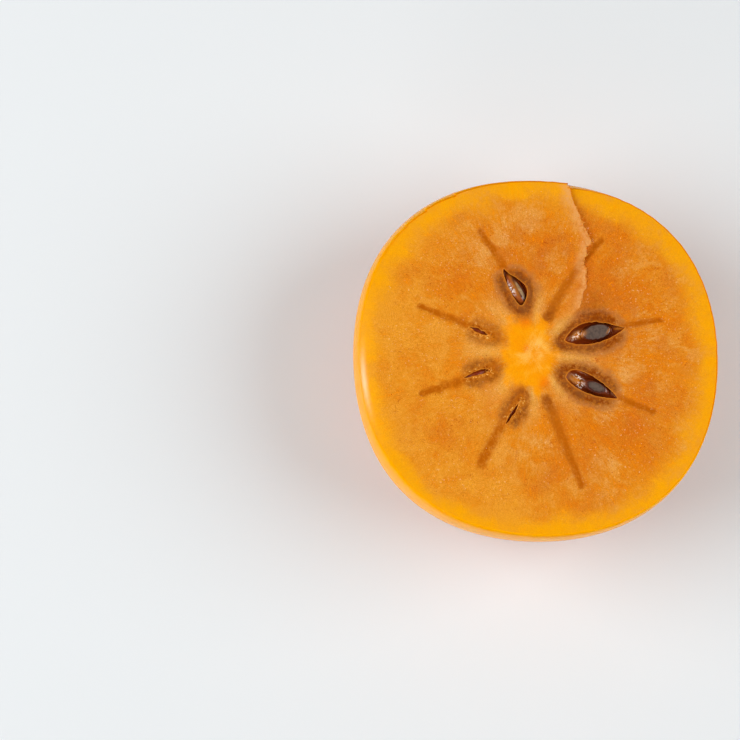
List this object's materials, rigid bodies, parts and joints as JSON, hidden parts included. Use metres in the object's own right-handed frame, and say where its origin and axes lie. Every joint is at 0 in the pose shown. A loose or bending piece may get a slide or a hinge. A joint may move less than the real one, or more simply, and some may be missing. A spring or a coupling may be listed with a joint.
{
  "type": "sliced persimmon",
  "caption": "Squat round fruit sliced level, cut face up, with radiating chambers, flat brown seeds and a rounded underside that rests on a small flat spot.",
  "frame": {"origin": "middle of the fruit's footprint on the surface it rests on", "axes": "+Z up, from the blossom end to the level cut face; seen from above with +X to the right and +Y up, the deepest-cut seeds lie to the right of the core"},
  "size_m": [0.078, 0.0778, 0.0354],
  "materials": {
    "skin_and_flesh": "smooth waxy orange skin; the cut face is moist mottled orange flesh with a yellower core and rim",
    "seed_coat": "glossy dark brown coat, grey inside where the knife took the tip off"
  },
  "bodies": {
    "root": {"fruit_half": "skin_and_flesh", "seed_top": "seed_coat", "seed_right_upper": "seed_coat", "seed_right_lower": "seed_coat", "seed_bottom_left": "seed_coat", "seed_left_lower": "seed_coat", "seed_left_upper": "seed_coat"}
  },
  "joints": []
}
